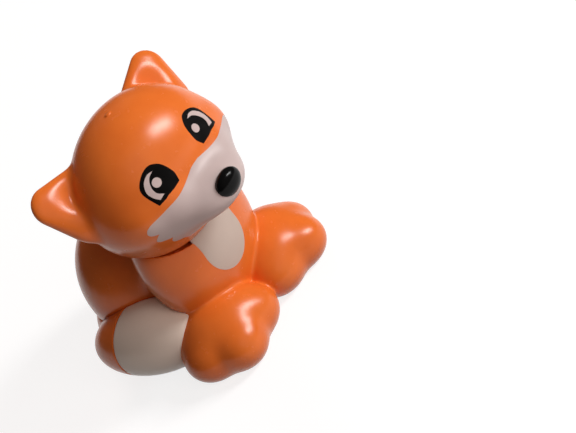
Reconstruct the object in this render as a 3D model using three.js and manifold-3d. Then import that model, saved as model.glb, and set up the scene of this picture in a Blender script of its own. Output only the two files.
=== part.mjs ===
// A sitting fox cub, a hard-plastic toddler toy: a hollow head that turns on a neck post, a hollow
// body in two shells, two front paws, and a tail that lies round the fox's right side.
// Millimetres and degrees. The fox looks along -Y, its left is +X and +Z is up. The origin is on the
// underside of the base plate, in the middle of the footprint.

import * as THREE from 'three';
import { mergeVertices } from 'three/addons/utils/BufferGeometryUtils.js';
import Module from 'manifold-3d';

const wasm = await Module();
wasm.setup();

// Walls and clearances
const WALL = 2.2;
const FIT_GAP = 0.3;
const TURN_GAP = 0.4;
const INLAY_THICKNESS = 1.2;

// Skull, an egg set a little behind and above the middle of the head, which is on the neck axis
const NECK_AXIS_FORWARD = 10;
const HEAD_WIDTH = 31.4;
const HEAD_DEPTH = 23.2;
const HEAD_HEIGHT = 27.6;
const HEAD_CENTRE_HEIGHT = 35.5;
const SKULL_BACK = 0.7;
const SKULL_UP = 0.4;
const BACK_COVER_SEAM_BACK = 9;

// Temples, cheeks and muzzle, measured from the middle of the head
const TEMPLE_WIDTH = 10.5;
const TEMPLE_DEPTH = 14;
const TEMPLE_HEIGHT = 11;
const TEMPLE_OUT = 10.2;
const TEMPLE_FORWARD = 1.7;
const TEMPLE_DROP = 0.3;
const CHEEK_WIDTH = 12.4;
const CHEEK_DEPTH = 15.8;
const CHEEK_HEIGHT = 14.8;
const CHEEK_OUT = 6.3;
const CHEEK_FORWARD = 3.4;
const CHEEK_DROP = 1.2;
const MUZZLE_WIDTH = 13.2;
const MUZZLE_DEPTH = 10.1;
const MUZZLE_HEIGHT = 6.8;
const MUZZLE_FORWARD = 11.5;
const MUZZLE_DROP = 3.6;
const MUZZLE_FILLET = 4.5;

// Nose, measured from the middle of the head
const NOSE_WIDTH = 5.8;
const NOSE_DEPTH = 3.2;
const NOSE_HEIGHT = 4.5;
const NOSE_FORWARD = 15.6;
const NOSE_DROP = 2.4;

// Ears, measured from the middle of the head
const EAR_WIDTH = 13.8;
const EAR_THICKNESS = 5.4;
const EAR_TIP_DIAMETER = 6.8;
const EAR_TIP_REACH = 7;
const EAR_OUT = 11.2;
const EAR_BACK = 3.7;
const EAR_UP = 4.5;
const EAR_LEAN = 46.4;
const EAR_SWEEP = 18.8;
const EAR_TWIST = 19.6;

// Hollow in the front of each ear, measured from the middle of the ear's round base
const EAR_DISH_WIDTH = 5.6;
const EAR_DISH_LENGTH = 6.4;
const EAR_DISH_DEPTH = 1.5;
const EAR_DISH_IN = 1.4;
const EAR_DISH_UP = 2.9;

// Eyes, a dome over a straight lower edge, as [azimuth, elevation] of the left eye from the head's middle
const EYE_DOME = [
  [20.8, 12.2], [19.4, 21], [24.2, 32.3], [34, 36.7], [44.7, 32.6], [50.4, 23.4], [44.2, 9.1],
];
const EYE_THICKNESS = 0.8;

// White mask, half an outline in [azimuth, elevation] from the head's middle
const MASK_TOP = [
  [0, 11.4], [5.7, 11], [12.5, 9.2], [20.7, 7], [30, 5.4], [39.4, 4.6], [47.6, 3.3], [55.3, 2.2], [58.8, 0.8],
];
const MASK_TIPS = [[60.2, -3.4], [59.6, -13], [53, -23.4]];
const MASK_NOTCHES = [[55, -7], [50.6, -17.6]];
const MASK_BOTTOM = [[46, -27.2], [40.5, -36.5], [30, -46], [15, -51], [0, -52]];

// Chest and front-leg column, measured back from the neck axis
const CHEST_WIDTH = 26.5;
const CHEST_DEPTH = 15.6;
const CHEST_HEIGHT = 32.8;
const CHEST_CENTRE_HEIGHT = 18.7;
const CHEST_BACK = 2.9;

// Belly and back between chest and rump, measured back from the neck axis
const BELLY_WIDTH = 18;
const BELLY_DEPTH = 22;
const BELLY_HEIGHT = 27;
const BELLY_CENTRE_HEIGHT = 11.3;
const BELLY_BACK = 11;

// White chest patch, a tongue with a round lower end
const PATCH_WIDTH = 10;
const PATCH_BOTTOM = 12.8;
const PATCH_TOP = 26;
const PATCH_ROUND_HEIGHT = 6;

// Rump and haunches, measured back from the neck axis
const RUMP_WIDTH = 29.4;
const RUMP_DEPTH = 22.7;
const RUMP_HEIGHT = 27.9;
const RUMP_CENTRE_HEIGHT = 12.6;
const RUMP_BACK = 20.3;
const HAUNCH_WIDTH = 11;
const HAUNCH_DEPTH = 19;
const HAUNCH_HEIGHT = 17;
const HAUNCH_OUT = 8.6;
const HAUNCH_BACK = 18;
const HAUNCH_CENTRE_HEIGHT = 6;
const BODY_SEAM_BACK = 13;
const SHOULDER_RISE = 4.6;

// Front paws, measured from the neck axis
const PAW_WIDTH = 18.2;
const PAW_DEPTH = 15.7;
const PAW_HEIGHT = 13.7;
const PAW_OUT = 9.2;
const PAW_FORWARD = 0.5;
const PAW_CENTRE_HEIGHT = 4.8;
const PAW_TURN_OUT = 31.5;
const TOE_WIDTH = 11.8;
const TOE_LENGTH = 13.8;
const TOE_HEIGHT = 10.3;
const TOE_REACH = 3.95;
const TOE_CENTRE_HEIGHT = 3.9;
const TOE_ANGLES = [-52, 27, 87];

// Tail, an egg beside the right haunch and a root that runs behind the rump, from the neck axis
const TAIL_WIDTH = 14.9;
const TAIL_LENGTH = 26;
const TAIL_HEIGHT = 14.4;
const TAIL_OUT = 13.8;
const TAIL_BACK = 11.6;
const TAIL_TURN = 20;
const TAIL_CENTRE_HEIGHT = 7;
const TAIL_ROOT_WIDTH = 10.4;
const TAIL_ROOT_LENGTH = 18;
const TAIL_ROOT_HEIGHT = 11;
const TAIL_ROOT_OUT = 9.6;
const TAIL_ROOT_BACK = 25;
const TAIL_ROOT_TURN = 45;
const TAIL_ROOT_CENTRE_HEIGHT = 5;
const TAIL_COLOUR_SEAM_BACK = 15;

// Neck post in the body and the socket ring in the head
const POST_DIAMETER = 4;
const POST_FLANGE_DIAMETER = 6;
const POST_FLANGE_THICKNESS = 1.6;
const POST_SNAP_DIAMETER = 5.8;
const POST_SNAP_HEIGHT = 2;
const SOCKET_DIAMETER = 11;
const SOCKET_HEIGHT = 2;

// Oval base plate that closes the body, measured back from the neck axis
const BASE_WIDTH = 8;
const BASE_LENGTH = 11;
const BASE_THICKNESS = 1.6;
const BASE_BACK = 11.5;

// How softly neighbouring lumps run into each other
const HEAD_SOFTNESS = 0.7;
const BODY_SOFTNESS = 1.4;
const PAW_SOFTNESS = 0.5;

// Facets along each edge of the icosahedron behind a skin, and round a turned piece
const FINE = 8;
const MEDIUM = 5;
const COARSE = 4;
const ROUND = 24;

const RIGHT = -1;
const LEFT = 1;
const radians = THREE.MathUtils.degToRad;
const vector = (x, y, z) => new THREE.Vector3(x, y, z);
const EVEN = vector(1, 1, 1);
const UPRIGHT = new THREE.Euler();
const headCentre = vector(0, -NECK_AXIS_FORWARD, HEAD_CENTRE_HEIGHT);

// A lump: an egg of full width, depth and height about a centre, turned by an Euler rotation.
function lump(centre, width, depth, height, turn = UPRIGHT) {
  const inverse = new THREE.Quaternion().setFromEuler(turn).invert();
  return { centre, half: vector(width / 2, depth / 2, height / 2), inverse };
}

// About how far a point lies outside a lump.
function lumpDistance(point, { centre, half, inverse }) {
  const local = point.clone().sub(centre).applyQuaternion(inverse).divide(half);
  const reach = local.length();
  const slope = local.divide(half).length();
  return slope > 0 ? reach * (reach - 1) / slope : -Math.min(half.x, half.y, half.z);
}

// About how far a point lies outside a flat leaf: the hull of a round base and a round tip over it.
function leafDistance(point, { centre, half, inverse }, tipDiameter, tipReach) {
  const squash = vector(1, half.y / half.x, 1);
  const taper = (half.x - tipDiameter / 2) / tipReach;
  const spoke = point.clone().sub(centre).applyQuaternion(inverse).divide(squash);
  const across = Math.hypot(spoke.x, spoke.y);
  const flank = spoke.z - across * taper / Math.sqrt(1 - taper ** 2);
  const along = THREE.MathUtils.clamp(flank, 0, tipReach);
  spoke.z -= along;
  const reach = spoke.length();
  const slope = spoke.divide(squash).length() / reach;
  return reach > 0 ? (reach - half.x + taper * along) / slope : -half.y;
}

// A form of lumps that run softly into each other: about how far a point lies outside it.
const blend = (lumps, softness) => (point) => {
  const total = lumps.reduce((sum, one) => sum + Math.exp(-lumpDistance(point, one) / softness), 0);
  return -softness * Math.log(total);
};

// A form of two forms that meet in a fillet: about how far a point lies outside it.
const filleted = (first, second, radius) => (point) => {
  const one = first(point);
  const two = second(point);
  const near = Math.max(radius - Math.abs(one - two), 0) / radius;
  return Math.min(one, two) - near * near * radius / 4;
};

// A closed geometry as a solid that can be joined and cut.
const WELD = 1e-4;
function solid(geometry) {
  const bare = geometry.clone();
  bare.deleteAttribute('normal');
  bare.deleteAttribute('uv');
  const welded = mergeVertices(bare, WELD);
  return new wasm.Manifold(new wasm.Mesh({
    numProp: 3,
    vertProperties: new Float32Array(welded.attributes.position.array),
    triVerts: new Uint32Array(welded.index.array),
  }));
}

// The closed skin of a form, grown outwards by an offset and drawn round a core inside it. A flat form
// is drawn from directions that spread like the form, so that its rim is as smooth as its faces.
const skinReach = HEAD_CENTRE_HEIGHT + HEAD_HEIGHT / 2;
const SKIN_STEPS = 80;
const SKIN_TOLERANCE = 1e-4;
const SKIN_STRIDE = 0.8;
function skin(core, form, facets, grow = 0, spread = EVEN, turn = UPRIGHT) {
  const geometry = new THREE.IcosahedronGeometry(1, facets);
  const places = geometry.attributes.position;
  const direction = vector();
  const point = vector();
  for (let index = 0; index < places.count; index += 1) {
    direction.fromBufferAttribute(places, index).multiply(spread).applyEuler(turn).normalize();
    point.copy(core).addScaledVector(direction, skinReach);
    let gap = form(point) - grow;
    for (let step = 0; step < SKIN_STEPS && Math.abs(gap) > SKIN_TOLERANCE; step += 1) {
      point.addScaledVector(direction, -gap * SKIN_STRIDE);
      gap = form(point) - grow;
    }
    places.setXYZ(index, point.x, point.y, point.z);
  }
  return solid(geometry);
}

// A turned piece about the neck axis, from a closed profile of [radius, height] points.
function turned(profile) {
  const points = [...profile, profile[0]].map(([radius, height]) => new THREE.Vector2(radius, height));
  const geometry = new THREE.LatheGeometry(points, ROUND);
  geometry.rotateX(Math.PI / 2);
  geometry.translate(0, -NECK_AXIS_FORWARD, 0);
  return solid(geometry);
}

// A plain round bar on the neck axis between two heights.
const bar = (diameter, low, high) => turned([
  [0, low], [diameter / 2, low], [diameter / 2, high], [0, high],
]);

// Everything past a plane, on the side that its normal points to.
const span = 4 * skinReach;
function past(normal, through) {
  const geometry = new THREE.BoxGeometry(span, span, span).translate(0, 0, span / 2);
  geometry.applyQuaternion(new THREE.Quaternion().setFromUnitVectors(vector(0, 0, 1), normal));
  geometry.translate(through.x, through.y, through.z);
  return solid(geometry);
}
const aboveGround = past(vector(0, 0, 1), vector(0, 0, 0));
const behind = (distance) => past(vector(0, 1, 0), vector(0, distance - NECK_AXIS_FORWARD, 0));
const ahead = (distance) => past(vector(0, -1, 0), vector(0, distance - NECK_AXIS_FORWARD, 0));
const onSide = (side) => past(vector(side, 0, 0), vector(side * FIT_GAP / 2, 0, 0));

// An outline moved outwards by a distance, corner by corner. Outlines run anticlockwise.
function grown(outline, distance) {
  return outline.map((corner, index) => {
    const before = outline.at(index - 1);
    const after = outline[(index + 1) % outline.length];
    const along = new THREE.Vector2().subVectors(after, before).normalize();
    return new THREE.Vector2(corner.x + along.y * distance, corner.y - along.x * distance);
  });
}

// A prism that stands out of the head, from an outline drawn in degrees of azimuth and elevation.
const PRISM_INNER = 3;
const prismOuter = HEAD_WIDTH;
function headPrism(outline, grow = 0) {
  const growDegrees = THREE.MathUtils.radToDeg(grow / (HEAD_DEPTH / 2));
  const shape = new THREE.Shape(grown(outline, growDegrees));
  const geometry = new THREE.ExtrudeGeometry(shape, {
    depth: prismOuter - PRISM_INNER, bevelEnabled: false,
  });
  const places = geometry.attributes.position;
  for (let index = 0; index < places.count; index += 1) {
    const azimuth = radians(places.getX(index));
    const elevation = radians(places.getY(index));
    const distance = PRISM_INNER + places.getZ(index);
    const level = distance * Math.cos(elevation);
    places.setXYZ(
      index,
      headCentre.x + level * Math.sin(azimuth),
      headCentre.y - level * Math.cos(azimuth),
      headCentre.z + distance * Math.sin(elevation),
    );
  }
  return solid(geometry);
}

// Head: skull, temples and cheeks in one soft skin that runs into the muzzle
const onHead = (out, forward, up) => headCentre.clone().add(vector(out, -forward, up));
const skullCentre = onHead(0, -SKULL_BACK, SKULL_UP);
const skull = blend([
  lump(skullCentre, HEAD_WIDTH, HEAD_DEPTH, HEAD_HEIGHT),
  ...[RIGHT, LEFT].flatMap((side) => [
    lump(onHead(side * TEMPLE_OUT, TEMPLE_FORWARD, -TEMPLE_DROP), TEMPLE_WIDTH, TEMPLE_DEPTH, TEMPLE_HEIGHT),
    lump(onHead(side * CHEEK_OUT, CHEEK_FORWARD, -CHEEK_DROP), CHEEK_WIDTH, CHEEK_DEPTH, CHEEK_HEIGHT),
  ]),
], HEAD_SOFTNESS);
const muzzleLump = lump(onHead(0, MUZZLE_FORWARD, -MUZZLE_DROP), MUZZLE_WIDTH, MUZZLE_DEPTH, MUZZLE_HEIGHT);
const headForm = filleted(skull, (point) => lumpDistance(point, muzzleLump), MUZZLE_FILLET);
const headSkin = (facets, grow = 0) => skin(headCentre, headForm, facets, grow);
const headFloor = skullCentre.z - HEAD_HEIGHT / 2;

// The round space that the skull sweeps as the head turns, grown by a clearance.
function headSweep(grow) {
  const around = Math.max(HEAD_WIDTH, HEAD_DEPTH + 2 * SKULL_BACK) + 2 * grow;
  const geometry = new THREE.SphereGeometry(0.5, ROUND, ROUND / 2).rotateX(Math.PI / 2);
  geometry.scale(around, around, HEAD_HEIGHT + 2 * grow);
  geometry.translate(headCentre.x, headCentre.y, skullCentre.z);
  return solid(geometry);
}

// One ear: a round-tipped leaf that leans out and back, twisted forwards and dished at the front.
function ear(side) {
  const turn = new THREE.Euler(
    -radians(EAR_SWEEP), side * radians(EAR_LEAN), -side * radians(EAR_TWIST), 'YXZ',
  );
  const centre = onHead(side * EAR_OUT, -EAR_BACK, EAR_UP);
  const inEar = (out, forward, up) => vector(side * out, -forward, up).applyEuler(turn).add(centre);
  const base = lump(centre, EAR_WIDTH, EAR_THICKNESS, EAR_WIDTH, turn);
  const leafForm = (point) => leafDistance(point, base, EAR_TIP_DIAMETER, EAR_TIP_REACH);
  const leaf = skin(inEar(0, 0, EAR_TIP_REACH / 2), leafForm, FINE, 0, base.half, turn);
  const dishCentre = inEar(-EAR_DISH_IN, EAR_THICKNESS / 2, EAR_DISH_UP);
  const dish = lump(dishCentre, EAR_DISH_WIDTH, 2 * EAR_DISH_DEPTH, EAR_DISH_LENGTH, turn);
  return leaf.subtract(skin(dishCentre, (point) => lumpDistance(point, dish), MEDIUM, 0, dish.half, turn));
}

const points = (list) => list.map(([azimuth, elevation]) => new THREE.Vector2(azimuth, elevation));

// The outline of one eye on the head, anticlockwise.
function eyeOutline(side) {
  const dome = new THREE.SplineCurve(points(EYE_DOME)).getPoints(ROUND);
  const outline = dome.map((point) => new THREE.Vector2(side * point.x, point.y));
  return side === LEFT ? outline.reverse() : outline;
}

// The outline of the white mask: a soft top edge, three fur tips on each cheek, and the jaw line.
function maskOutline() {
  const top = new THREE.SplineCurve(points(MASK_TOP)).getPoints(ROUND / 2);
  const bottom = new THREE.SplineCurve(points(MASK_BOTTOM)).getPoints(ROUND / 4);
  const tips = MASK_TIPS.flatMap((tip, index) => points([tip, MASK_NOTCHES[index]].filter(Boolean)));
  const half = [...top, ...tips, ...bottom];
  const mirrored = half.slice(1, -1).map((point) => new THREE.Vector2(-point.x, point.y));
  return [...half.reverse(), ...mirrored];
}

// A layer of the head under an outline, from its skin down to a thickness.
const headLayer = (outline, thickness) => headSkin(FINE)
  .intersect(headPrism(outline))
  .subtract(headSkin(COARSE, -thickness));
// The pocket that such a layer is set in.
const headPocket = (outline, thickness) => headPrism(outline, FIT_GAP)
  .subtract(headSkin(COARSE, -thickness - FIT_GAP));

const noseLump = lump(onHead(0, NOSE_FORWARD, -NOSE_DROP), NOSE_WIDTH, NOSE_DEPTH, NOSE_HEIGHT);
const noseForm = (point) => lumpDistance(point, noseLump);
const noseSkin = (grow = 0) => skin(noseLump.centre, noseForm, COARSE, grow);

// Body: chest column, belly, rump and haunches in one soft skin
const fromNeck = (out, back, height) => vector(out, back - NECK_AXIS_FORWARD, height);
const bodyCore = fromNeck(0, BODY_SEAM_BACK, RUMP_CENTRE_HEIGHT);
const bodyForm = blend([
  lump(fromNeck(0, CHEST_BACK, CHEST_CENTRE_HEIGHT), CHEST_WIDTH, CHEST_DEPTH, CHEST_HEIGHT),
  lump(fromNeck(0, BELLY_BACK, BELLY_CENTRE_HEIGHT), BELLY_WIDTH, BELLY_DEPTH, BELLY_HEIGHT),
  lump(fromNeck(0, RUMP_BACK, RUMP_CENTRE_HEIGHT), RUMP_WIDTH, RUMP_DEPTH, RUMP_HEIGHT),
  ...[RIGHT, LEFT].map((side) => lump(
    fromNeck(side * HAUNCH_OUT, HAUNCH_BACK, HAUNCH_CENTRE_HEIGHT),
    HAUNCH_WIDTH, HAUNCH_DEPTH, HAUNCH_HEIGHT,
  )),
], BODY_SOFTNESS);
const bodySkin = (facets, grow = 0) => skin(bodyCore, bodyForm, facets, grow);

// One front paw: a broad pad turned outwards, with three toes round its front.
function pawSkin(side, facets, grow = 0) {
  const middle = fromNeck(side * PAW_OUT, -PAW_FORWARD, PAW_CENTRE_HEIGHT);
  const pad = lump(
    middle, PAW_WIDTH, PAW_DEPTH, PAW_HEIGHT, new THREE.Euler(0, 0, side * radians(PAW_TURN_OUT)),
  );
  const toes = TOE_ANGLES.map((angle) => {
    const outwards = side * radians(angle);
    const centre = vector(
      middle.x + TOE_REACH * Math.sin(outwards),
      middle.y - TOE_REACH * Math.cos(outwards),
      TOE_CENTRE_HEIGHT,
    );
    return lump(centre, TOE_WIDTH, TOE_LENGTH, TOE_HEIGHT, new THREE.Euler(0, 0, outwards));
  });
  return skin(middle, blend([pad, ...toes], PAW_SOFTNESS), facets, grow);
}
const bothPaws = (grow) => pawSkin(RIGHT, COARSE, grow).add(pawSkin(LEFT, COARSE, grow));

// Tail: a fat egg beside the haunch, and an egg that leads from it round behind the rump
function tailEgg(out, back, height, turn, ...sizes) {
  const centre = fromNeck(-out, back, height);
  const egg = lump(centre, ...sizes, new THREE.Euler(0, 0, radians(turn)));
  return skin(centre, (point) => lumpDistance(point, egg), MEDIUM);
}

const mask = maskOutline();
const eyes = new Map([[RIGHT, eyeOutline(RIGHT)], [LEFT, eyeOutline(LEFT)]]);
const postHole = POST_DIAMETER + 2 * TURN_GAP;
const headHollow = headSkin(COARSE, -WALL);

function headShell() {
  const outside = headSkin(FINE).add(ear(RIGHT)).add(ear(LEFT));
  return outside
    .subtract(headHollow)
    .subtract(behind(BACK_COVER_SEAM_BACK))
    .subtract(headPocket(mask, INLAY_THICKNESS))
    .subtract(headPocket(eyes.get(RIGHT), EYE_THICKNESS))
    .subtract(headPocket(eyes.get(LEFT), EYE_THICKNESS))
    .subtract(noseSkin(FIT_GAP))
    .subtract(bar(postHole, 0, HEAD_CENTRE_HEIGHT));
}

function headBackCover() {
  return headSkin(FINE).subtract(headHollow).intersect(behind(BACK_COVER_SEAM_BACK + FIT_GAP));
}

// The ring on the floor of the head that runs on the post.
const socketLow = headFloor + WALL;
const socketHigh = socketLow + SOCKET_HEIGHT;
function neckSocket() {
  const ring = turned([
    [postHole / 2, headFloor], [SOCKET_DIAMETER / 2, headFloor],
    [SOCKET_DIAMETER / 2, socketHigh], [postHole / 2, socketHigh],
  ]);
  return ring.intersect(headSkin(COARSE, -WALL - FIT_GAP));
}

// Both body shells end at one level: the rump's top, or a rise over the head's floor where that is lower.
const shoulderHeight = Math.min(RUMP_CENTRE_HEIGHT + RUMP_HEIGHT / 2, headFloor + SHOULDER_RISE);
const aboveShoulders = (inset) => past(vector(0, 0, 1), vector(0, 0, shoulderHeight - inset));

// The hollow of the body, clear of the shoulders, the bowl under the head and the paw sockets.
function bodyHollow(inset) {
  return bodySkin(COARSE, -inset)
    .subtract(aboveShoulders(inset))
    .subtract(headSweep(TURN_GAP + inset))
    .subtract(bothPaws(FIT_GAP + inset));
}

// The flanged post that stands through the bowl under the head and snaps into the socket.
const bowlFloor = headFloor - TURN_GAP;
function neckPost() {
  const flangeHigh = bowlFloor - WALL - FIT_GAP;
  const flangeLow = flangeHigh - POST_FLANGE_THICKNESS;
  const snapLow = socketHigh + TURN_GAP;
  const flange = bar(POST_FLANGE_DIAMETER, flangeLow, flangeHigh).intersect(bodyHollow(WALL + FIT_GAP));
  const shaft = bar(POST_DIAMETER, flangeLow, snapLow + POST_SNAP_HEIGHT);
  const snap = turned([
    [0, snapLow], [POST_SNAP_DIAMETER / 2, snapLow],
    [POST_DIAMETER / 2, snapLow + POST_SNAP_HEIGHT], [0, snapLow + POST_SNAP_HEIGHT],
  ]);
  return flange.add(shaft).add(snap);
}

// The tongue-shaped patch outline, seen from the front, as a prism through the chest.
function patchPrism(grow) {
  const half = PATCH_WIDTH / 2;
  const roundTop = PATCH_BOTTOM + PATCH_ROUND_HEIGHT;
  const lower = new THREE.EllipseCurve(0, roundTop, half, PATCH_ROUND_HEIGHT, Math.PI, 2 * Math.PI);
  const outline = [
    ...lower.getPoints(ROUND / 2), new THREE.Vector2(half, PATCH_TOP), new THREE.Vector2(-half, PATCH_TOP),
  ];
  const geometry = new THREE.ExtrudeGeometry(new THREE.Shape(grown(outline, grow)), {
    depth: CHEST_DEPTH, bevelEnabled: false,
  });
  geometry.rotateX(Math.PI / 2).translate(0, CHEST_BACK - NECK_AXIS_FORWARD, 0);
  return solid(geometry);
}

// The oval base plate, or with a clearance the hole that it closes.
function basePlate(grow = 0) {
  const oval = new THREE.EllipseCurve(0, 0, BASE_WIDTH / 2 + grow, BASE_LENGTH / 2 + grow);
  const geometry = new THREE.ExtrudeGeometry(new THREE.Shape(oval.getPoints(ROUND)), {
    depth: BASE_THICKNESS + grow, bevelEnabled: false,
  });
  return solid(geometry.translate(0, BASE_BACK - NECK_AXIS_FORWARD, 0));
}

const bodyOutside = bodySkin(FINE)
  .intersect(aboveGround)
  .subtract(aboveShoulders(0))
  .subtract(headSweep(TURN_GAP))
  .subtract(bothPaws(FIT_GAP));
const bodyShell = bodyOutside.subtract(bodyHollow(WALL)).subtract(basePlate(FIT_GAP));

function bodyFrontShell() {
  const pocket = patchPrism(FIT_GAP).subtract(bodySkin(COARSE, -INLAY_THICKNESS - FIT_GAP));
  return bodyShell
    .intersect(ahead(BODY_SEAM_BACK))
    .subtract(pocket)
    .subtract(bar(POST_DIAMETER + 2 * FIT_GAP, 0, HEAD_CENTRE_HEIGHT));
}

const bodyRearShell = () => bodyShell.intersect(behind(BODY_SEAM_BACK + FIT_GAP));
const chestPatch = () => bodyOutside
  .intersect(patchPrism(0))
  .subtract(bodySkin(COARSE, -INLAY_THICKNESS));

const paw = (side) => pawSkin(side, MEDIUM).intersect(aboveGround).intersect(onSide(side));
const wholeTail = tailEgg(
  TAIL_OUT, TAIL_BACK, TAIL_CENTRE_HEIGHT, TAIL_TURN, TAIL_WIDTH, TAIL_LENGTH, TAIL_HEIGHT,
)
  .add(tailEgg(
    TAIL_ROOT_OUT, TAIL_ROOT_BACK, TAIL_ROOT_CENTRE_HEIGHT, -TAIL_ROOT_TURN,
    TAIL_ROOT_WIDTH, TAIL_ROOT_LENGTH, TAIL_ROOT_HEIGHT,
  ))
  .intersect(aboveGround)
  .subtract(bodySkin(FINE, FIT_GAP))
  .subtract(bothPaws(FIT_GAP));
const tailRoot = () => wholeTail.intersect(behind(TAIL_COLOUR_SEAM_BACK + FIT_GAP));
const tailTip = () => wholeTail.intersect(ahead(TAIL_COLOUR_SEAM_BACK));

// A solid as a named mesh with its own finish.
function piece(name, shape, finish) {
  const { vertProperties, triVerts } = shape.getMesh();
  const geometry = new THREE.BufferGeometry();
  geometry.setAttribute('position', new THREE.BufferAttribute(vertProperties, 3));
  geometry.setIndex(new THREE.BufferAttribute(triVerts, 1));
  const mesh = new THREE.Mesh(geometry, new THREE.MeshStandardMaterial({ ...finish, metalness: 0 }));
  mesh.name = name;
  return mesh;
}

const ORANGE = { color: 0xdf6f2e, roughness: 0.32 };
const WHITE = { color: 0xe4ddd6, roughness: 0.35 };
const BLACK = { color: 0x121212, roughness: 0.12 };
const PALE = { color: 0xb9b4ae, roughness: 0.5 };

const head = new THREE.Group();
head.add(
  piece('head_shell', headShell(), ORANGE),
  piece('head_back_cover', headBackCover(), ORANGE),
  piece('muzzle_mask', headLayer(mask, INLAY_THICKNESS).subtract(noseSkin(FIT_GAP)), WHITE),
  piece('nose', noseSkin(), BLACK),
  piece('eye_right', headLayer(eyes.get(RIGHT), EYE_THICKNESS), BLACK),
  piece('eye_left', headLayer(eyes.get(LEFT), EYE_THICKNESS), BLACK),
  piece('neck_socket', neckSocket(), PALE),
);

const body = new THREE.Group();
body.add(
  piece('body_front_shell', bodyFrontShell(), ORANGE),
  piece('body_rear_shell', bodyRearShell(), ORANGE),
  piece('chest_patch', chestPatch(), WHITE),
  piece('paw_right', paw(RIGHT), ORANGE),
  piece('paw_left', paw(LEFT), ORANGE),
  piece('tail_root', tailRoot(), ORANGE),
  piece('tail_tip', tailTip(), WHITE),
  piece('base_plate', basePlate(), PALE),
  piece('neck_post', neckPost(), PALE),
);

const fox = new THREE.Group();
fox.add(head, body);
export default fox;
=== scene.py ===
"""A sitting toy fox cub in satin plastic: the looks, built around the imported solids.

Sizes are in millimetres and degrees, and meshes are written in metres. The fox looks along -Y, its left
is +X and +Z is up. Every moulded form is a smooth field, a distance that is negative inside, and its
mesh is the net of points where that field is zero.
"""

import math

import bpy
import numpy as np
from mathutils import Matrix, Quaternion, Vector
from mathutils.geometry import delaunay_2d_cdt


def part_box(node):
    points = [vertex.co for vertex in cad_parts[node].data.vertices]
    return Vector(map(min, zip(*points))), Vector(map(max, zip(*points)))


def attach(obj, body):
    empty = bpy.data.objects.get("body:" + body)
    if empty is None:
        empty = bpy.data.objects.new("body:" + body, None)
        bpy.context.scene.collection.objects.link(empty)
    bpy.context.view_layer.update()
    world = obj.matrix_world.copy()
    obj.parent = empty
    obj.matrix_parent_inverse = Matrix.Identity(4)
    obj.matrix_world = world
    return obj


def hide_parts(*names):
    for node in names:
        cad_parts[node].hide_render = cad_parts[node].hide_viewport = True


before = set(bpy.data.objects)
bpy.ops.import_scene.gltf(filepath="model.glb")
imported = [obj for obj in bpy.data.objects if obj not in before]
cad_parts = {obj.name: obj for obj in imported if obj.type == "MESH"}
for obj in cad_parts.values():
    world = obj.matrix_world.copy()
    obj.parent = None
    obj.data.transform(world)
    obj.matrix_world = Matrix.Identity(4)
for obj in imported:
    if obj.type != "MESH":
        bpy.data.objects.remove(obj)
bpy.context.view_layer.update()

MM = 0.001
TINY = 1e-9
RIGHT = -1
LEFT = 1
SIDES = {RIGHT: "right", LEFT: "left"}

# Photograph: its frame, and the camera found from the outlines of the figure in it
PHOTO_WIDTH = 576
PHOTO_HEIGHT = 433
CAMERA_TURN = 32.5
CAMERA_RISE = 33
CAMERA_ROLL = 38.4
CAMERA_DISTANCE = 249.4
CAMERA_AIM = (0, -10, 22.75)
CAMERA_CLIP_START = 1
AIM_PIXEL = (193.7, 221.2)
PHOTO_SCALE = 0.175
SENSOR_WIDTH = 36

# Clearances, seams and fillets
TURN_GAP = 0.12
SEAM = 0.06
SEAM_ROUND = 0.3
FLUSH_ROUND = 0.06
LAP = 0.5
LAP_SINK = 0.015
CREASE_FILLET = 0.9
GROUND_ROUND = 0.8
PRINT_LIFT = 0.03
PRINT_DEPTH = 0.25

# Head, measured from the middle of the head on the neck axis
NECK_AXIS_FORWARD = 10
HEAD_CENTRE_HEIGHT = 35.5
HEAD_TURN = 30
HEAD_TURN_STOPS = 7
SKULL_SIZE = (31.4, 23.2, 27.6)
SKULL_PLACE = (0, 0.7, 0.4)
TEMPLE_SIZE = (10.5, 14, 11)
TEMPLE_PLACE = (10.2, -1.7, -0.3)
CHEEK_SIZE = (12.4, 15.8, 14.8)
CHEEK_PLACE = (6.3, -3.4, -1.2)
HEAD_SOFTNESS = 0.7
MUZZLE_SIZE = (13.2, 10.1, 6.8)
MUZZLE_PLACE = (0, -11.5, -3.6)
MUZZLE_FILLET = 4.5
NOSE_SIZE = (5.8, 3.2, 4.5)
NOSE_PLACE = (0, -15.6, -2.4)
BACK_COVER_SEAM_BACK = 9

# Neck hole, its top measured up from the ground
NECK_HOLE_DIAMETER = 5
NECK_HOLE_TOP = 30

# Gate nub, a moulding mark on the crown
GATE_PLACE = (-0.3, -0.2, 14.25)
GATE_SIZE = (1.2, 0.9, 0.24)

# Ears, their hollows measured from the middle of the ear's round base
EAR_WIDTH = 13.8
EAR_THICKNESS = 5.4
EAR_TIP_DIAMETER = 6.8
EAR_TIP_REACH = 7
EAR_PLACE = (11.2, 3.7, 4.5)
EAR_LEAN = 46.4
EAR_SWEEP = 18.8
EAR_TWIST = 19.6
EAR_FILLET = 1.1
EAR_DISH_SIZE = (4.6, 3.8, 5.4)
EAR_DISH_PLACE = (-1.4, -3.3, 2.9)
EAR_DISH_ROUND = 3

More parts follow.
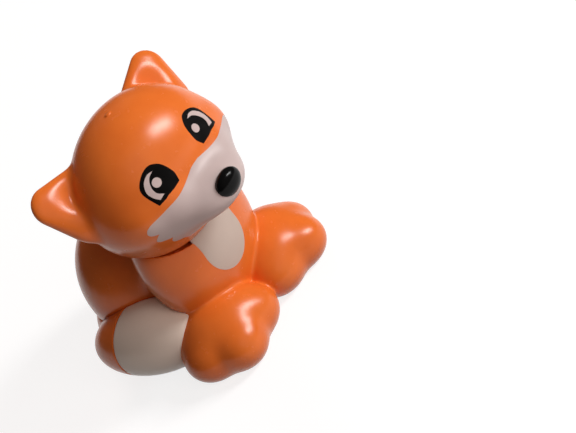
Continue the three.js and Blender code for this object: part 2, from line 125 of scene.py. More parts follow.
# Face prints, as azimuth and elevation from the middle of the head
EYE_DOME = [(20.8, 12.2), (19.4, 21), (24.2, 32.3), (34, 36.7), (44.7, 32.6), (50.4, 23.4), (44.2, 9.1)]
CRESCENT_OUTER = [(33.6, 32), (39.5, 31.7), (45, 28), (47.2, 21.7), (45.3, 16.3), (41.5, 12)]
CRESCENT_INNER = [(36.7, 13.6), (41, 17.3), (42.1, 22.5), (39.6, 28.5)]
DOT_PLACE = {RIGHT: (-36.3, 23.2), LEFT: (28.9, 23.6)}
DOT_RADII = (4, 3.7)
MASK_TOP = [
    (0, 11.4), (5.7, 11), (12.5, 9.2), (20.7, 7), (30, 5.4), (39.4, 4.6), (47.6, 3.3), (55.3, 2.2),
]
MASK_NOTCHES = [(58.8, 0.8), (55, -7), (50.6, -17.6), (46, -27.2)]
MASK_TIPS = [(60.2, -3.4), (59.6, -13), (53, -23.4)]
MASK_BOTTOM = [(40.5, -36.5), (30, -46), (15, -51), (0, -52)]

# Body, measured back from the neck axis and up from the ground
CHEST_SIZE = (26.5, 15.6, 32.8)
CHEST_PLACE = (0, 2.9, 18.7)
BELLY_SIZE = (18, 22, 27)
BELLY_PLACE = (0, 11, 11.3)
RUMP_SIZE = (29.4, 22.7, 27.9)
RUMP_PLACE = (0, 20.3, 12.6)
HAUNCH_SIZE = (11, 19, 17)
HAUNCH_PLACE = (8.6, 18, 6)
BODY_SOFTNESS = 1.4
BODY_SEAM_BACK = 13

# Chest patch, drawn in the front view
PATCH_SHIFT = -0.4
PATCH_WIDTH = 10
PATCH_BOTTOM = 12.8
PATCH_TOP = 24
PATCH_ROUND_HEIGHT = 6

# Front paws
PAW_SIZE = (18.2, 15.7, 13.7)
PAW_PLACE = (9.2, -0.5, 4.8)
PAW_TURN_OUT = 31.5
TOE_SIZE = (11.8, 13.8, 10.3)
TOE_REACH = 3.95
TOE_CENTRE_HEIGHT = 3.9
TOE_ANGLES = (-52, 27, 87)
PAW_SOFTNESS = 0.5

# Tail
TAIL_SIZE = (14.9, 26, 14.4)
TAIL_PLACE = (-13.8, 11.6, 7)
TAIL_TURN = 20
TAIL_ROOT_SIZE = (10.4, 18, 11)
TAIL_ROOT_PLACE = (-9.6, 25, 5)
TAIL_ROOT_TURN = -45
TAIL_SOFTNESS = 1
TAIL_COLOUR_SEAM_BACK = 15

# Moulded meshes: the spacing of their points, and how the net over a field is found
STEP = 0.32
FINE_STEP = 0.2
BOX_MARGIN = 1
BLOCK = 4
NEAR_BLOCKS = 1.3
FAR = 1e3
PROBE = 0.01
CHUNK = 200000
RELAX_ROUNDS = 2
SETTLE_ROUNDS = 4
LEAST_STEEPNESS = 0.1

# Printed meshes: points along an outline, their spacing inside it, and the walk along a ray on to the skin
EYE_POINTS = 12
CURVE_POINTS = 8
LOBE_POINTS = 14
DOT_POINTS = 36
PATCH_POINTS = 48
FACE_SPACING = 1.6
FINE_FACE_SPACING = FACE_SPACING / 2
PATCH_SPACING = 0.4
WELD_DISTANCE = 1e-6
PRINT_EDGE_ANGLE = 40
WALK_SHARE = 0.8
FACE_WALK_START = 30.0
FACE_WALK_STEPS = 60
FRONT_WALK_START = -40.0
FRONT_WALK_STEPS = 80

# Plastic: scale and detail of each pattern, the part that clouds the colour, and the peel's depth in metres
CLOUD_GRAIN = (160, 4)
CLOUD_BAND = (0.3, 0.7)
GLOSS_GRAIN = (700, 6)
PEEL_GRAIN = (1100, 3)
PEEL_DEPTH = 0.0001

# Stage and light, with lengths in metres
FLOOR_SIZE = 4
FLOOR_GREY = 0.34
FLOOR_ROUGHNESS = 0.9
FLOOR_GLOW = 0.8
WORLD_STRENGTH = 0.06
PLAIN_LIGHT = (1, 1, 1)
FILL_TINT = (1, 0.82, 0.76)

head_centre = np.array([0, -NECK_AXIS_FORWARD, HEAD_CENTRE_HEIGHT])


def turned(x=0, y=0, z=0):
    """The rotation that turns about Z, then X, then Y, as rows of a matrix."""
    spin = [Matrix.Rotation(math.radians(angle), 3, axis) for angle, axis in ((y, "Y"), (x, "X"), (z, "Z"))]
    return np.array(spin[0] @ spin[1] @ spin[2])


def egg(centre, size, turn=None):
    """An egg as its middle, its half size and its turn."""
    return np.array(centre, float), np.array(size, float) / 2, np.eye(3) if turn is None else turn


def on_head(place, side=1):
    """A place measured from the middle of the head, on either side."""
    return head_centre + np.array(place) * (side, 1, 1)


def from_neck(place, side=1):
    """A place measured back from the neck axis and up from the ground, on either side."""
    return np.array(place) * (side, 1, 1) - (0, NECK_AXIS_FORWARD, 0)


def egg_distance(points, one):
    """About how far points lie outside an egg."""
    centre, half, turn = one
    local = (points - centre) @ turn / half
    reach = np.sqrt((local * local).sum(-1))
    slope = np.sqrt(((local / half) ** 2).sum(-1))
    return reach * (reach - 1) / np.maximum(slope, TINY)


def soft_union(eggs, softness):
    """A field of eggs that run softly into each other."""
    def field(points):
        distances = np.stack([egg_distance(points, one) for one in eggs])
        nearest = distances.min(0)
        return nearest - softness * np.log(np.exp((nearest - distances) / softness).sum(0))
    return field


def join(a, b, radius):
    """Both distances in one, with a fillet where they meet."""
    near = np.maximum(radius - np.abs(a - b), 0) / radius
    return np.minimum(a, b) - near * near * radius / 4


def meet(a, b, radius):
    """What two distances have in common, with a rounded edge."""
    return -join(-a, -b, radius)


def cut(a, b, radius):
    """The first distance without the second, with a rounded edge."""
    return meet(a, -b, radius)


def ahead(points, distance):
    """How far points lie in front of an upright plane at a distance behind the neck axis."""
    return distance - NECK_AXIS_FORWARD - points[:, 1]


# Fields of the head

skull_field = soft_union(
    [egg(on_head(SKULL_PLACE), SKULL_SIZE)]
    + [egg(on_head(TEMPLE_PLACE, side), TEMPLE_SIZE) for side in SIDES]
    + [egg(on_head(CHEEK_PLACE, side), CHEEK_SIZE) for side in SIDES],
    HEAD_SOFTNESS,
)
muzzle = egg(on_head(MUZZLE_PLACE), MUZZLE_SIZE)
gate_nub = egg(on_head(GATE_PLACE), GATE_SIZE)
nose_field = soft_union([egg(on_head(NOSE_PLACE), NOSE_SIZE)], HEAD_SOFTNESS)


def head_field(points):
    """The head without its ears: a skull that runs into a short muzzle."""
    return join(skull_field(points), egg_distance(points, muzzle), MUZZLE_FILLET)


def leaf_distance(points, centre, turn):
    """About how far points lie outside a flat leaf: the hull of a round base and a round tip over it."""
    squash = np.array([1, EAR_THICKNESS / EAR_WIDTH, 1])
    local = (points - centre) @ turn / squash
    taper = (EAR_WIDTH - EAR_TIP_DIAMETER) / 2 / EAR_TIP_REACH
    across = np.hypot(local[:, 0], local[:, 1])
    along = np.clip(local[:, 2] - across * taper / math.sqrt(1 - taper * taper), 0, EAR_TIP_REACH)
    spoke = local - along[:, None] * (0, 0, 1)
    reach = np.sqrt((spoke * spoke).sum(-1))
    slope = np.sqrt(((spoke / squash) ** 2).sum(-1)) / np.maximum(reach, TINY)
    return (reach - EAR_WIDTH / 2 + taper * along) / np.maximum(slope, TINY)


def ear_field(points, side):
    """One ear: a leaf that leans out and back, twisted forwards and dished at the front."""
    turn = turned(-EAR_SWEEP, side * EAR_LEAN, -side * EAR_TWIST)
    centre = on_head(EAR_PLACE, side)
    dish = egg(centre + turn @ (np.array(EAR_DISH_PLACE) * (side, 1, 1)), EAR_DISH_SIZE, turn)
    return cut(leaf_distance(points, centre, turn), egg_distance(points, dish), EAR_DISH_ROUND)


def ears_field(points):
    """Both ears."""
    return np.min([ear_field(points, side) for side in SIDES], 0)


def head_shell_field(points):
    """The head in front of the back cover, with its ears, its gate nub and a hole for the neck."""
    skull = join(head_field(points), egg_distance(points, gate_nub), GATE_SIZE[2])
    front = meet(skull, SEAM / 2 - ahead(points, BACK_COVER_SEAM_BACK), SEAM_ROUND)
    shell = join(front, ears_field(points), EAR_FILLET)
    across = np.hypot(points[:, 0], points[:, 1] + NECK_AXIS_FORWARD) - NECK_HOLE_DIAMETER / 2
    neck_hole = np.maximum(across, points[:, 2] - NECK_HOLE_TOP)
    return cut(shell, neck_hole, SEAM_ROUND)


def back_cover_field(points):
    """The cap at the back of the head, clear of the ears."""
    cap = meet(head_field(points), SEAM / 2 + ahead(points, BACK_COVER_SEAM_BACK), SEAM_ROUND)
    return cut(cap, ears_field(points) - SEAM, SEAM_ROUND)


# Fields of the body

body_field = soft_union(
    [egg(from_neck(CHEST_PLACE), CHEST_SIZE), egg(from_neck(BELLY_PLACE), BELLY_SIZE),
     egg(from_neck(RUMP_PLACE), RUMP_SIZE)]
    + [egg(from_neck(HAUNCH_PLACE, side), HAUNCH_SIZE) for side in SIDES],
    BODY_SOFTNESS,
)


def paw_eggs(side):
    """A paw's egg, turned outwards, and the long eggs of its three toes."""
    middle = from_neck(PAW_PLACE, side)
    toes = []
    for angle in TOE_ANGLES:
        outwards = side * math.radians(angle)
        reach = TOE_REACH * np.array([math.sin(outwards), -math.cos(outwards)])
        toes.append(egg((*(middle[:2] + reach), TOE_CENTRE_HEIGHT), TOE_SIZE, turned(z=side * angle)))
    return [egg(middle, PAW_SIZE, turned(z=side * PAW_TURN_OUT))] + toes


paw_fields = {side: soft_union(paw_eggs(side), PAW_SOFTNESS) for side in SIDES}
tail_field = soft_union(
    [egg(from_neck(TAIL_PLACE), TAIL_SIZE, turned(z=TAIL_TURN)),
     egg(from_neck(TAIL_ROOT_PLACE), TAIL_ROOT_SIZE, turned(z=TAIL_ROOT_TURN))],
    TAIL_SOFTNESS,
)
swept_skulls = [
    egg(head_centre + turn @ np.array(SKULL_PLACE), np.array(SKULL_SIZE) + 2 * TURN_GAP, turn)
    for turn in (turned(z=angle) for angle in np.linspace(-HEAD_TURN, HEAD_TURN, HEAD_TURN_STOPS))
]


def head_bowl(points):
    """The space that the skull sweeps as the head turns, and a gap round it."""
    return np.min([egg_distance(points, skull) for skull in swept_skulls], 0)


BODY, PAW_RIGHT, PAW_LEFT, TAIL = range(4)


def body_distances(points):
    """The body, the two paws and the tail by themselves, one row each."""
    return np.stack([
        body_field(points), paw_fields[RIGHT](points), paw_fields[LEFT](points), tail_field(points),
    ])


def share(points, owner, lap, sink):
    """One owner's share of the body, the paws and the tail; body and paws run into each other with a fillet.

    The share ends where another owner is nearer, or goes on under it by a lap, sunk below its skin.
    """
    rows = body_distances(points)
    whole = rows[BODY]
    for row in rows[PAW_RIGHT:TAIL]:
        whole = join(whole, row, CREASE_FILLET)
    if owner == TAIL:
        whole = rows[TAIL]
    others = np.delete(rows, owner, 0).min(0)
    region = (rows[owner] - others) / 2 - lap
    shape = meet(whole + sink, region, SEAM_ROUND)
    return meet(shape, -points[:, 2], GROUND_ROUND)


def front_shell_field(points):
    """The chest in front of the body's seam, with a bowl for the head."""
    shape = cut(share(points, BODY, 0, 0), head_bowl(points), FLUSH_ROUND)
    return meet(shape, -ahead(points, BODY_SEAM_BACK), FLUSH_ROUND)


def rear_shell_field(points):
    """The back and the haunches, which go on under the front shell by a lap."""
    shape = cut(share(points, BODY, 0, LAP_SINK), head_bowl(points), FLUSH_ROUND)
    return meet(shape, ahead(points, BODY_SEAM_BACK) - LAP, FLUSH_ROUND)


def paw_field(owner):
    """A field of one paw, which goes on under its neighbours by a lap."""
    return lambda points: share(points, owner, LAP, LAP_SINK)


def tail_tip_field(points):
    """The tail in front of its colour seam."""
    return meet(share(points, TAIL, 0, 0), SEAM / 2 - ahead(points, TAIL_COLOUR_SEAM_BACK), SEAM_ROUND)


def tail_root_field(points):
    """The tail behind its colour seam."""
    return meet(share(points, TAIL, 0, 0), SEAM / 2 + ahead(points, TAIL_COLOUR_SEAM_BACK), SEAM_ROUND)


# Meshes from fields

def measure(field, points):
    """The values of a field, a chunk of points at a time."""
    parts = [field(points[start:start + CHUNK]) for start in range(0, len(points), CHUNK)]
    return np.concatenate(parts)


def gradient_of(field, points):
    """The gradient of a field at points."""
    sides = []
    for step in PROBE * np.eye(3):
        rise = measure(field, points + step) - measure(field, points - step)
        sides.append(rise / (2 * PROBE))
    return np.stack(sides, -1)


def lattice(field, low, blocks, step):
    """The field on a lattice: exact near the skin, and only its sign in the blocks away from it."""
    width = BLOCK * step
    middles = low + width * (np.indices(blocks).reshape(3, -1).T + 0.5 - 0.5 / BLOCK)
    rough = measure(field, middles).reshape(blocks)
    values = np.sign(rough) * FAR
    for axis in range(3):
        values = values.repeat(BLOCK, axis)
    near = np.argwhere(np.abs(rough) < NEAR_BLOCKS * width)
    inner = np.indices([BLOCK] * 3).reshape(3, -1).T
    cells = (near[:, None] * BLOCK + inner).reshape(-1, 3)
    values[tuple(cells.T)] = measure(field, low + step * cells)
    return values


def settle(field, points, step):
    """Points moved on to the skin of a field."""
    for _ in range(SETTLE_ROUNDS):
        gradient = gradient_of(field, points)
        steepness = np.maximum((gradient * gradient).sum(-1), LEAST_STEEPNESS)
        move = gradient * (measure(field, points) / steepness)[:, None]
        points = points - np.clip(move, -step, step)
    return points


def net_points(values, active, low, step):
    """One point in each active cell: the mean of the places where the skin crosses the cell's edges."""
    base = np.argwhere(active)
    total = np.zeros((len(base), 3))
    hits = np.zeros(len(base))
    corners = np.indices((2, 2, 2)).reshape(3, -1).T
    for a in corners:
        for b in corners:
            if np.abs(a - b).sum() != 1 or a.sum() > b.sum():
                continue
            first = values[tuple((base + a).T)]
            second = values[tuple((base + b).T)]
            crossed = (first < 0) != (second < 0)
            part = first[crossed] / (first[crossed] - second[crossed])
            total[crossed] += a + part[:, None] * (b - a)
            hits[crossed] += 1
    return low + step * (base + total / hits[:, None])


def net_quads(inside, index):
    """A quad round each lattice edge that the skin crosses, facing outwards."""
    cells = np.array(index.shape)
    quads = []
    for axis in range(3):
        one = np.eye(3, dtype=int)[(axis + 1) % 3]
        two = np.eye(3, dtype=int)[(axis + 2) % 3]
        before = inside.take(range(cells[axis]), axis)
        after = inside.take(range(1, cells[axis] + 1), axis)
        edges = np.argwhere(before != after)
        kept = (edges >= one + two).all(1) & (edges <= cells - 1).all(1)
        edges = edges[kept]
        ring = np.stack([index[tuple((edges + way).T)] for way in (-one - two, -two, 0 * one, -one)], 1)
        outwards = before[tuple(edges.T)]
        quads.append(np.where(outwards[:, None], ring, ring[:, ::-1]))
    return np.concatenate(quads)


def net(field, low, high, step):
    """The skin of a field inside a box, as points and quads."""
    blocks = np.ceil((high - low) / (BLOCK * step)).astype(int) + 1
    values = lattice(field, low, blocks, step)
    inside = values < 0
    cells = np.array(values.shape) - 1
    corners = np.indices((2, 2, 2)).reshape(3, -1).T
    window = [tuple(slice(c, c + n) for c, n in zip(corner, cells)) for corner in corners]
    filled = np.sum([inside[part] for part in window], 0)
    active = (filled > 0) & (filled < len(corners))
    index = np.full(cells, -1)
    index[active] = np.arange(active.sum())
    return net_points(values, active, low, step), net_quads(inside, index)


def relax(points, quads):
    """Points moved half way to the middle of their neighbours."""
    pairs = np.concatenate([np.stack([quads[:, k], quads[:, (k + 1) % 4]], 1) for k in range(4)])
    total = np.zeros_like(points)
    count = np.zeros(len(points))
    np.add.at(total, pairs[:, 0], points[pairs[:, 1]])
    np.add.at(count, pairs[:, 0], 1)
    return (points + total / count[:, None]) / 2


def new_mesh(name, points, faces):
    """A smooth mesh in metres from points in millimetres."""
    mesh = bpy.data.meshes.new(name)
    mesh.from_pydata((np.asarray(points) * MM).tolist(), [], faces)
    mesh.shade_smooth()
    return mesh


def show(mesh, body, nodes, material):
    """A mesh as a piece that rides on a body and stands for solids there."""
    piece = bpy.data.objects.new(mesh.name, mesh)
    bpy.context.scene.collection.objects.link(piece)
    mesh.materials.append(material)
    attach(piece, body)
    if nodes:
        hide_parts(*nodes)


def mould(node, field, step, body, material):
    """A moulded piece in place of a solid, meshed inside the solid's box and a margin."""
    low, high = (np.array(corner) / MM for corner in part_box(node))
    low = low - BOX_MARGIN
    high = high + BOX_MARGIN
    points, quads = net(field, low, high, step)
    for _ in range(RELAX_ROUNDS):
        points = settle(field, relax(points, quads), step)
    mesh = new_mesh("moulded_" + node, points, quads.tolist())
    normals = gradient_of(field, points)
    normals /= np.linalg.norm(normals, axis=1)[:, None]
    mesh.normals_split_custom_set_from_vertices(normals.tolist())
    show(mesh, body, [node], material)


# Prints: thin pieces with a crisp outline that lie on the skin

def arc(centre, radii, start, end, count):
    """Points along an arc of an ellipse."""
    angles = np.radians(np.linspace(start, end, count))
    return np.array(centre) + np.stack([np.cos(angles), np.sin(angles)], 1) * radii


def curve(points, count):
    """A smooth curve through points, with as many points as counted from each to the next."""
    points = np.array(points, float)
    ends = np.vstack([2 * points[0] - points[1], points, 2 * points[-1] - points[-2]])
    out = []
    for a, b, c, d in zip(ends, ends[1:], ends[2:], ends[3:]):
        straight = (c - a) / 2
        bend = a - 2.5 * b + 2 * c - d / 2
        sway = 1.5 * (b - c) + (d - a) / 2
        for t in np.linspace(0, 1, count, endpoint=False):
            out.append(b + t * (straight + t * (bend + t * sway)))
    return np.array(out + [points[-1]])


def lobe(start, tip, end, count):
    """A round tip between two notches."""
    start, tip, end = np.array([start, tip, end], float)
    pull = 2 * tip - (start + end) / 2
    t = np.linspace(0, 1, count)[:, None]
    return (1 - t) ** 2 * start + 2 * t * (1 - t) * pull + t ** 2 * end


def fill(outline, spacing):
    """Triangles inside an outline, with lattice points between its corners."""
    low = outline.min(0)
    high = outline.max(0)
    across = np.arange(low[0] + spacing / 2, high[0], spacing)
    rows = np.arange(low[1] + spacing / 2, high[1], spacing * math.sqrt(3) / 2)
    inner = [(x + spacing / 2 * (k % 2), y) for k, y in enumerate(rows) for x in across]
    gaps = np.linalg.norm(np.array(inner)[:, None] - outline[None], axis=2).min(1)
    inner = [Vector(point) for point, gap in zip(inner, gaps) if gap > spacing / 2]
    ring = [Vector(point) for point in outline]
    border = list(range(len(ring)))
    points, _, triangles, *_ = delaunay_2d_cdt(ring + inner, [], [border], 1, WELD_DISTANCE)
    flat = np.array([tuple(point) for point in points])
    return flat, [list(triangle) for triangle in triangles]


def lay(flat, triangles, place):
    """A closed thin sheet: its face lies over the skin and its back below it."""
    count = len(flat)
    points = np.concatenate([place(flat, PRINT_LIFT), place(flat, PRINT_LIFT - PRINT_DEPTH)])
    back = [[corner + count for corner in reversed(triangle)] for triangle in triangles]
    halves = {(t[k], t[(k + 1) % 3]) for t in triangles for k in range(3)}
    rim = [[b, a, a + count, b + count] for a, b in halves if (b, a) not in halves]
    return points, triangles + back + rim


def radial(field, centre):
    """Places azimuths and elevations on a field, along rays from a centre."""
    def place(flat, lift):
        azimuth, elevation = np.radians(flat.T)
        level = np.cos(elevation)
        rays = np.stack([level * np.sin(azimuth), -level * np.cos(azimuth), np.sin(elevation)], 1)
        reach = np.full(len(rays), FACE_WALK_START)
        for _ in range(FACE_WALK_STEPS):
            reach = reach - WALK_SHARE * (field(centre + rays * reach[:, None]) - lift)
        return centre + rays * reach[:, None]
    return place


def frontal(field):
    """Places points of the front view on a field, along the fox's line of sight."""
    def place(flat, lift):
        points = np.stack([flat[:, 0], np.full(len(flat), FRONT_WALK_START), flat[:, 1]], 1)
        for _ in range(FRONT_WALK_STEPS):
            points[:, 1] += WALK_SHARE * (field(points) - lift)
        return points
    return place


def print_on(name, outline, spacing, place, body, nodes, material, lift=0):
    """A printed piece inside an outline, placed on the skin or lifted off it to lie on another print."""
    flat, triangles = fill(outline, spacing)
    points, faces = lay(flat, triangles, lambda where, height: place(where, height + lift))
    mesh = new_mesh(name, points, faces)
    mesh.set_sharp_from_angle(angle=math.radians(PRINT_EDGE_ANGLE))
    show(mesh, body, nodes, material)


def mirrored(points, side):
    """Points drawn for the left side of the face, on either side, running the same way round."""
    return points if side == LEFT else points[::-1] * (-1, 1)


def eye_outline(side):
    """A dome with two sharp corners and a straight lower edge."""
    return mirrored(curve(EYE_DOME, EYE_POINTS)[::-1], side)


def crescent_outline(side):
    """The white of an eye: a crescent with a blunt lower end."""
    outer = curve(CRESCENT_OUTER, CURVE_POINTS)
    inner = curve(CRESCENT_INNER + CRESCENT_OUTER[:1], CURVE_POINTS)
    return mirrored(np.concatenate([outer, inner[:-1]])[::-1], side)


def dot_outline(side):
    """The round glint of an eye."""
    return arc(DOT_PLACE[side], DOT_RADII, 0, 360 - 360 / DOT_POINTS, DOT_POINTS)


def mask_outline():
    """The white muzzle and cheeks, with three fur tips on each cheek."""
    top = curve(MASK_TOP + MASK_NOTCHES[:1], CURVE_POINTS)
    tips = [lobe(*ends, LOBE_POINTS)[1:] for ends in zip(MASK_NOTCHES, MASK_TIPS, MASK_NOTCHES[1:])]
    bottom = curve(MASK_NOTCHES[-1:] + MASK_BOTTOM, CURVE_POINTS)
    half = np.concatenate([top, *tips, bottom[1:]])
    return np.concatenate([half[::-1], half[1:-1] * (-1, 1)])


def patch_outline():
    """A tongue with a round lower end."""
    half = PATCH_WIDTH / 2
    round_top = PATCH_BOTTOM + PATCH_ROUND_HEIGHT
    lower = arc((PATCH_SHIFT, round_top), (half, PATCH_ROUND_HEIGHT), 180, 360, PATCH_POINTS)
    return np.concatenate([lower, [(PATCH_SHIFT + half, PATCH_TOP), (PATCH_SHIFT - half, PATCH_TOP)]])


# Finishes

def grain(tree, scale, detail):
    """A fine cloudy pattern fixed to the piece."""
    place = tree.nodes.new("ShaderNodeTexCoord")
    noise = tree.nodes.new("ShaderNodeTexNoise")
    noise.inputs["Scale"].default_value = scale
    noise.inputs["Detail"].default_value = detail
    tree.links.new(place.outputs["Object"], noise.inputs["Vector"])
    return noise.outputs["Fac"]


def plastic(name, light, dark, roughness, peel, shine=0.5):
    """Moulded plastic: clouded colour, uneven gloss, and the fine peel of a moulded skin."""
    material = bpy.data.materials.new(name)
    material.use_nodes = True
    tree = material.node_tree
    shader = tree.nodes["Principled BSDF"]
    shader.inputs["Specular IOR Level"].default_value = shine
    clouds = tree.nodes.new("ShaderNodeValToRGB")
    for element, position, colour in zip(clouds.color_ramp.elements, CLOUD_BAND, (dark, light)):
        element.position = position
        element.color = (*colour, 1)
    tree.links.new(grain(tree, *CLOUD_GRAIN), clouds.inputs["Fac"])
    tree.links.new(clouds.outputs["Color"], shader.inputs["Base Color"])
    gloss = tree.nodes.new("ShaderNodeMapRange")
    gloss.inputs["To Min"].default_value = roughness[0]
    gloss.inputs["To Max"].default_value = roughness[1]
    tree.links.new(grain(tree, *GLOSS_GRAIN), gloss.inputs["Value"])
    tree.links.new(gloss.outputs["Result"], shader.inputs["Roughness"])
    bump = tree.nodes.new("ShaderNodeBump")
    bump.inputs["Strength"].default_value = peel
    bump.inputs["Distance"].default_value = PEEL_DEPTH
    tree.links.new(grain(tree, *PEEL_GRAIN), bump.inputs["Height"])
    tree.links.new(bump.outputs["Normal"], shader.inputs["Normal"])
    return material


orange = plastic(
    "orange_plastic", light=(0.84, 0.19, 0.028), dark=(0.78, 0.163, 0.022),
    roughness=(0.22, 0.3), peel=0.05, shine=0.38,
)
white = plastic(
    "white_print", light=(0.61, 0.5, 0.48), dark=(0.57, 0.465, 0.445),
    roughness=(0.3, 0.42), peel=0.05, shine=0.3,
)
# Cream of the tail tip, the lighter of two copies; the chest patch has the darker one, which paints shade.
cream = plastic(
    "cream_plastic", light=(0.9, 0.785, 0.675), dark=(0.85, 0.74, 0.635),
    roughness=(0.26, 0.36), peel=0.05, shine=0.3,
)
# Chest patch print: a copy of the tail tip's cream, darkened as painted shade.
painted_shade_cream_print = plastic(
    "painted_shade_cream_print", light=(0.61, 0.51, 0.44), dark=(0.57, 0.475, 0.41),
    roughness=(0.3, 0.42), peel=0.05, shine=0.3,
)
black = plastic(
    "black_print", light=(0.004, 0.004, 0.004), dark=(0.002, 0.002, 0.002),
    roughness=(0.26, 0.36), peel=0.03, shine=0.1,
)
black_gloss = plastic(
    "black_nose", light=(0.005, 0.005, 0.005), dark=(0.003, 0.003, 0.003),
    roughness=(0.12, 0.18), peel=0.02, shine=0.12,
)
pale = plastic(
    "inner_plastic", light=(0.5, 0.48, 0.44), dark=(0.44, 0.42, 0.39),
    roughness=(0.4, 0.5), peel=0.1,
)

# Pieces of the head

mould("head_shell", head_shell_field, STEP, "head", orange)
mould("head_back_cover", back_cover_field, STEP, "head", orange)
mould("nose", nose_field, FINE_STEP, "head", black_gloss)
on_skull = radial(head_field, head_centre)
print_on(
    "printed_mask", mask_outline(), FACE_SPACING, on_skull, "head", ["muzzle_mask"],
    white,
)
for side, word in SIDES.items():
    print_on(
        "printed_eye_" + word, eye_outline(side), FACE_SPACING, on_skull, "head", ["eye_" + word],
        black,
    )
    print_on(
        "printed_crescent_" + word, crescent_outline(side), FINE_FACE_SPACING, on_skull, "head", [],
        white, PRINT_LIFT,
    )
    print_on(
        "printed_dot_" + word, dot_outline(side), FINE_FACE_SPACING, on_skull, "head", [],
        white, PRINT_LIFT,
    )

# Pieces of the body

mould("body_front_shell", front_shell_field, STEP, "body", orange)
mould("body_rear_shell", rear_shell_field, STEP, "body", orange)
mould("paw_right", paw_field(PAW_RIGHT), STEP, "body", orange)
mould("paw_left", paw_field(PAW_LEFT), STEP, "body", orange)
mould("tail_root", tail_root_field, STEP, "body", orange)
mould("tail_tip", tail_tip_field, STEP, "body", cream)
# The chest patch print, in the cream that is darkened as painted shade.
print_on(
    "printed_chest_patch", patch_outline(), PATCH_SPACING, frontal(body_field), "body", ["chest_patch"],
    painted_shade_cream_print,
)
for node in ("neck_socket", "neck_post", "base_plate"):
    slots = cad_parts[node].data.materials
    slots.clear()
    slots.append(pale)


# Stage, light and camera

def seen_or_lit(tree, seen, lit):
    """One of two values: the first where the camera or a reflection looks, the second for light."""
    path = tree.nodes.new("ShaderNodeLightPath")
    first = tree.nodes.new("ShaderNodeMath")
    first.operation = "MAXIMUM"
    tree.links.new(path.outputs["Is Camera Ray"], first.inputs[0])
    tree.links.new(path.outputs["Is Glossy Ray"], first.inputs[1])
    looks = tree.nodes.new("ShaderNodeMath")
    looks.operation = "MAXIMUM"
    tree.links.new(first.outputs[0], looks.inputs[0])
    tree.links.new(path.outputs["Is Transmission Ray"], looks.inputs[1])
    mix = tree.nodes.new("ShaderNodeMix")
    tree.links.new(looks.outputs[0], mix.inputs["Factor"])
    mix.inputs["A"].default_value = lit
    mix.inputs["B"].default_value = seen
    return mix.outputs["Result"]


def floor_finish():
    """A matt grey that glows where it is looked at, so that it shows as white and keeps a shadow."""
    material = bpy.data.materials.new("floor")
    material.use_nodes = True
    tree = material.node_tree
    shader = tree.nodes["Principled BSDF"]
    shader.inputs["Base Color"].default_value = (FLOOR_GREY, FLOOR_GREY, FLOOR_GREY, 1)
    shader.inputs["Roughness"].default_value = FLOOR_ROUGHNESS
    shader.inputs["Specular IOR Level"].default_value = 0
    shader.inputs["Emission Color"].default_value = (*PLAIN_LIGHT, 1)
    tree.links.new(seen_or_lit(tree, FLOOR_GLOW, 0), shader.inputs["Emission Strength"])
    return material


def add_floor():
    """The plain pale floor under the fox."""
    half = FLOOR_SIZE / 2
    corners = [(-half, -half, 0), (half, -half, 0), (half, half, 0), (-half, half, 0)]
    mesh = bpy.data.meshes.new("floor")
    mesh.from_pydata(corners, [], [(0, 1, 2, 3)])
    mesh.materials.append(floor_finish())
    floor = bpy.data.objects.new("floor", mesh)
    bpy.context.scene.collection.objects.link(floor)


def add_world():
    """Faint plain light from all round."""
    world = bpy.data.worlds.new("studio")
    bpy.context.scene.world = world
    world.use_nodes = True
    background = world.node_tree.nodes["Background"]
    background.inputs["Color"].default_value = (*PLAIN_LIGHT, 1)
    background.inputs["Strength"].default_value = WORLD_STRENGTH


def ray_to(azimuth, elevation):
    """The direction from the fox at an azimuth, from its front towards its left, and an elevation."""
    turn = math.radians(azimuth)
    rise = math.radians(elevation)
    return Vector((math.sin(turn) * math.cos(rise), -math.cos(turn) * math.cos(rise), math.sin(rise)))


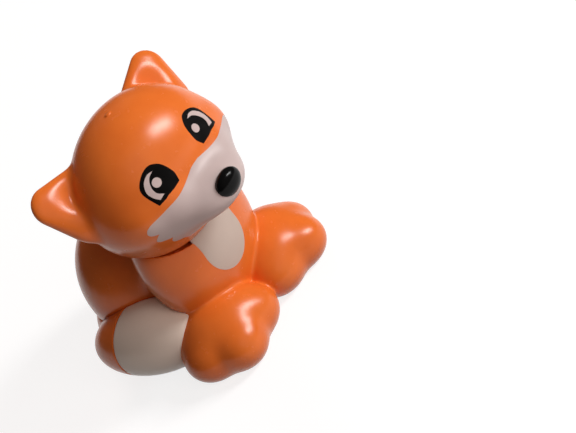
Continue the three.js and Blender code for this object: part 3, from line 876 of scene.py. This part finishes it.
def softbox(name, azimuth, elevation, distance, size, strength, tilt=0, glints=False):
    """A rectangular lamp in a direction from the fox: a strength of 1 lights a colour as it is written.

    A lamp with glints shows in the gloss of the plastic. The others only fill, and are tinted.
    """
    lamp = bpy.data.lights.new(name, "AREA")
    lamp.shape = "RECTANGLE"
    lamp.size, lamp.size_y = size
    lamp.energy = strength * math.pi ** 2 * distance ** 2
    lamp.color = PLAIN_LIGHT if glints else FILL_TINT
    ray = ray_to(azimuth, elevation)
    facing = ray.to_track_quat("Z", "Y") @ Quaternion((0, 0, 1), math.radians(tilt))
    holder = bpy.data.objects.new(name, lamp)
    holder.location = Vector(CAMERA_AIM) * MM + ray * distance
    holder.rotation_euler = facing.to_euler()
    holder.visible_glossy = glints
    bpy.context.scene.collection.objects.link(holder)


def add_camera():
    """The photograph's camera, aimed so that the figure's aim point falls on its pixel."""
    turn = math.radians(CAMERA_TURN)
    roll = math.radians(CAMERA_ROLL)
    back = ray_to(-CAMERA_TURN, CAMERA_RISE)
    level = Vector((math.cos(turn), -math.sin(turn), 0))
    above = back.cross(level)
    right = level * math.cos(roll) - above * math.sin(roll)
    up = level * math.sin(roll) + above * math.cos(roll)
    aim = Vector(CAMERA_AIM)
    eye = aim + back * CAMERA_DISTANCE
    shift_x = (PHOTO_WIDTH / 2 - AIM_PIXEL[0]) * PHOTO_SCALE
    shift_y = (AIM_PIXEL[1] - PHOTO_HEIGHT / 2) * PHOTO_SCALE
    target = aim + right * shift_x + up * shift_y
    away = (eye - target).normalized()
    across = (right - away * right.dot(away)).normalized()
    data = bpy.data.cameras.new("camera")
    data.sensor_width = SENSOR_WIDTH
    data.lens = SENSOR_WIDTH * CAMERA_DISTANCE / PHOTO_SCALE / PHOTO_WIDTH
    data.clip_start = CAMERA_CLIP_START * MM
    camera = bpy.data.objects.new("camera", data)
    pose = Matrix((across, away.cross(across), away)).transposed().to_4x4()
    pose.translation = eye * MM
    camera.matrix_world = pose
    bpy.context.scene.collection.objects.link(camera)
    bpy.context.scene.camera = camera


add_floor()
add_world()
softbox("key", azimuth=44, elevation=33, distance=0.5, size=(0.1, 0.22), strength=0.68, tilt=40, glints=True)
softbox("low_fill", azimuth=10, elevation=4, distance=0.6, size=(0.5, 0.25), strength=0.24)
softbox("front_fill", azimuth=-10, elevation=36, distance=0.6, size=(0.4, 0.4), strength=0.25)
softbox("back_fill", azimuth=140, elevation=35, distance=0.7, size=(0.4, 0.4), strength=0.32)
add_camera()
bpy.context.scene.view_settings.view_transform = "Standard"
